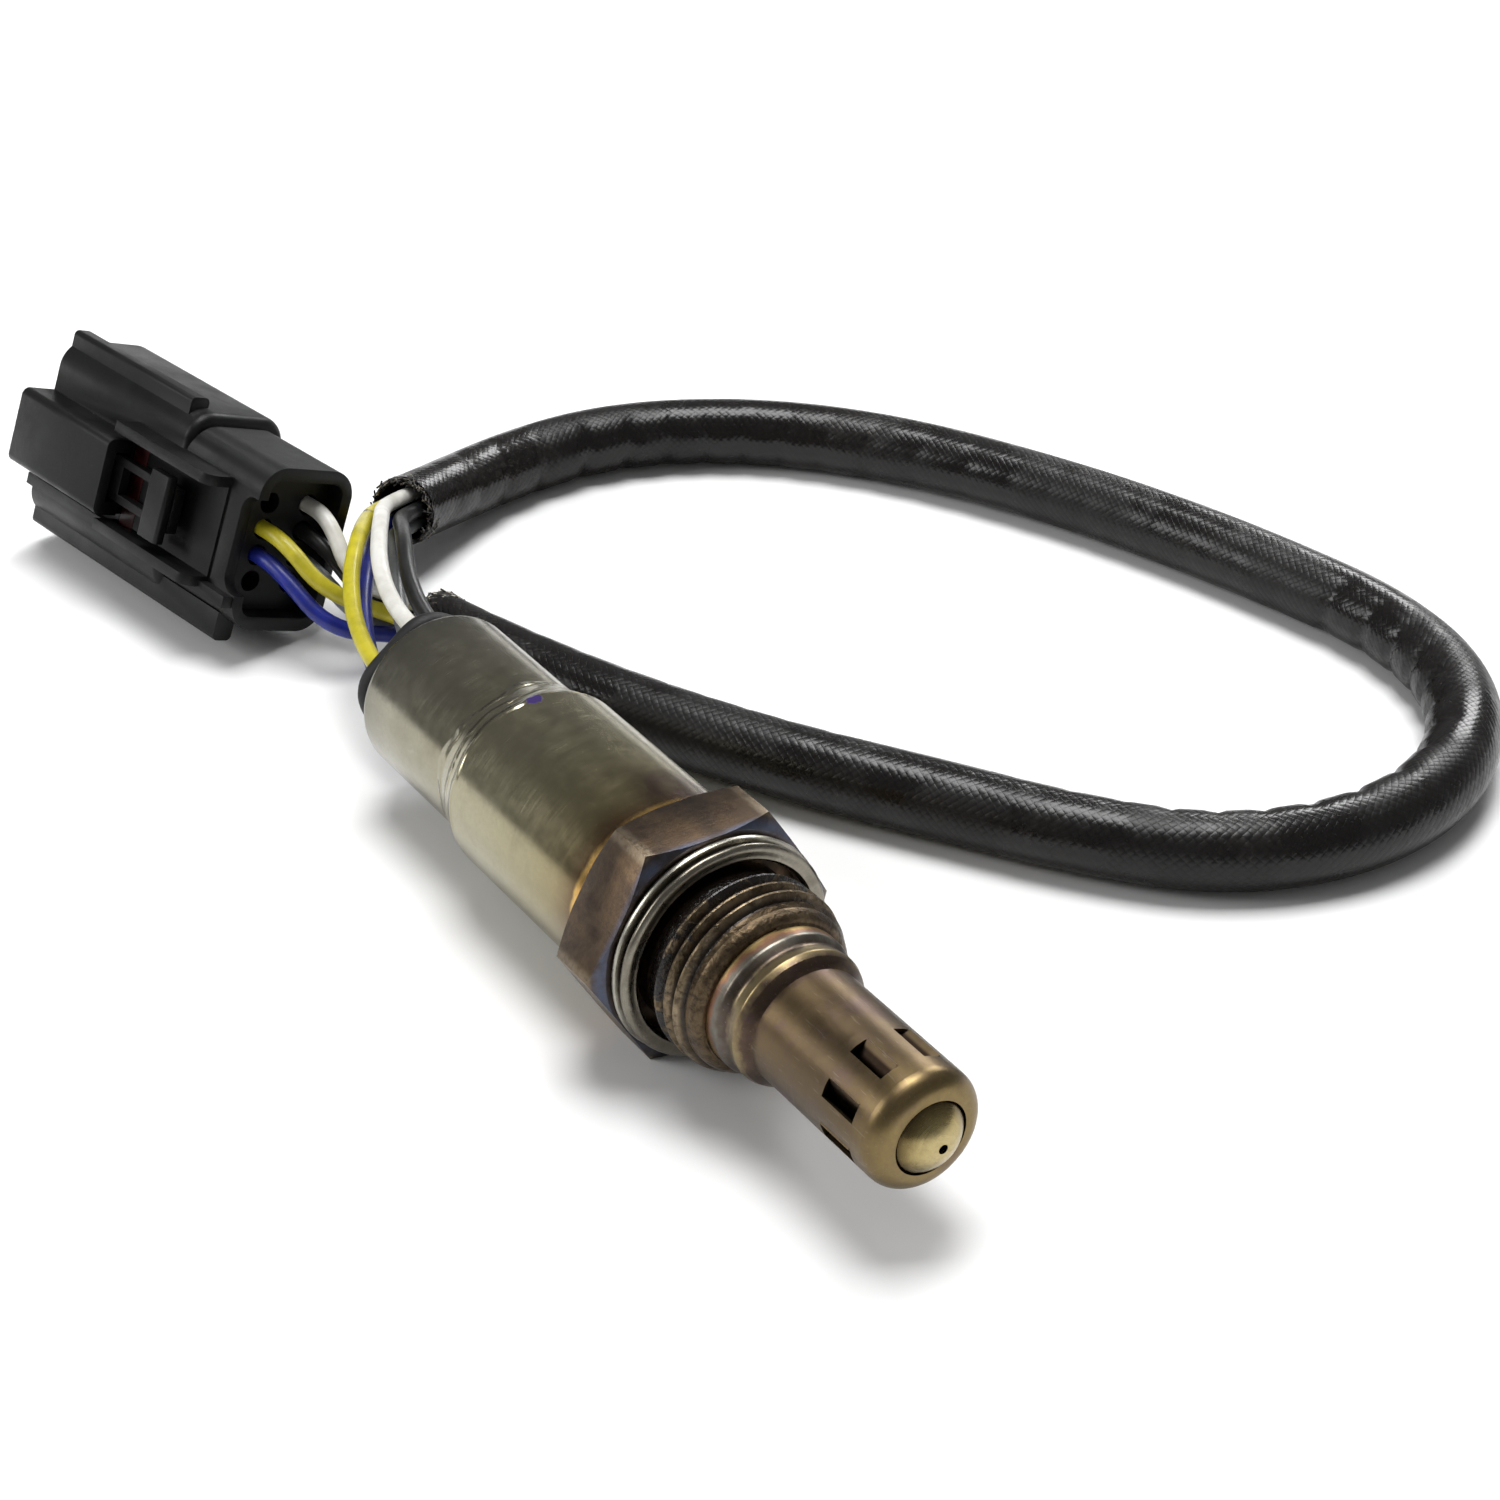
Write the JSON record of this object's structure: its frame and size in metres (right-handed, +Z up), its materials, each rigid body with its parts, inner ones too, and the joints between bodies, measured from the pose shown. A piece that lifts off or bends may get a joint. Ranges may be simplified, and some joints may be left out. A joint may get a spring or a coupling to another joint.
{
  "type": "exhaust oxygen sensor",
  "caption": "Exhaust oxygen sensor with a hex body and gasket, louvred protection tube, stepped rear sleeve, coloured leads in a looped braided sleeve, and a latched plug.",
  "frame": {"origin": "on the sensor's axis, at the front face of its gasket, where the gasket seals on the exhaust boss", "axes": "+X along the sensor's axis towards its tip, +Z up, +Y to the left of the sensor seen from behind, towards the loop of the sleeve"},
  "size_m": [0.1599, 0.1184, 0.0239],
  "materials": {
    "shell_steel": "heat-tinted, brown bronze",
    "gasket_steel": "satin",
    "tube_steel": "heat-tinted, straw to purple",
    "tip_steel": "heat-tinted, pale straw",
    "sleeve_steel": "satin",
    "alumina": "matt ceramic",
    "talc": "matt powder",
    "spring_nickel": "bright",
    "packing_nickel": "satin",
    "terminal_tin": "bright tin",
    "grommet_rubber": "matt",
    "plug_plastic": "fine moulded grain",
    "lock_plastic": "satin",
    "seal_silicone": "satin",
    "braid_fabric": "varnished weave",
    "lead_yellow": "satin",
    "lead_white": "satin",
    "lead_black": "satin",
    "lead_grey": "satin",
    "lead_blue": "satin"
  },
  "bodies": {
    "root": {"threaded_shell": "shell_steel", "gasket": "gasket_steel", "outer_protection_tube": "tube_steel", "inner_protection_tube": "tip_steel", "sensing_element": "alumina", "front_ceramic": "alumina", "talc_packing": "talc", "rear_bush": "alumina", "packing_ring": "packing_nickel", "rear_sleeve": "sleeve_steel", "terminal_holder": "alumina", "holder_ring": "spring_nickel", "grommet": "grommet_rubber", "plug_housing": "plug_plastic", "terminal_lock": "lock_plastic", "ring_seal": "seal_silicone", "wire_seal": "seal_silicone", "seal_cover": "plug_plastic", "braided_sleeve": "braid_fabric", "element_contact_yellow": "spring_nickel", "plug_terminal_yellow": "terminal_tin", "wire_yellow": "lead_yellow", "element_contact_white": "spring_nickel", "plug_terminal_white": "terminal_tin", "wire_white": "lead_white", "element_contact_black": "spring_nickel", "plug_terminal_black": "terminal_tin", "wire_black": "lead_black", "element_contact_grey": "spring_nickel", "plug_terminal_grey": "terminal_tin", "wire_grey": "lead_grey", "element_contact_blue": "spring_nickel", "plug_terminal_blue": "terminal_tin", "wire_blue": "lead_blue"}
  },
  "joints": []
}
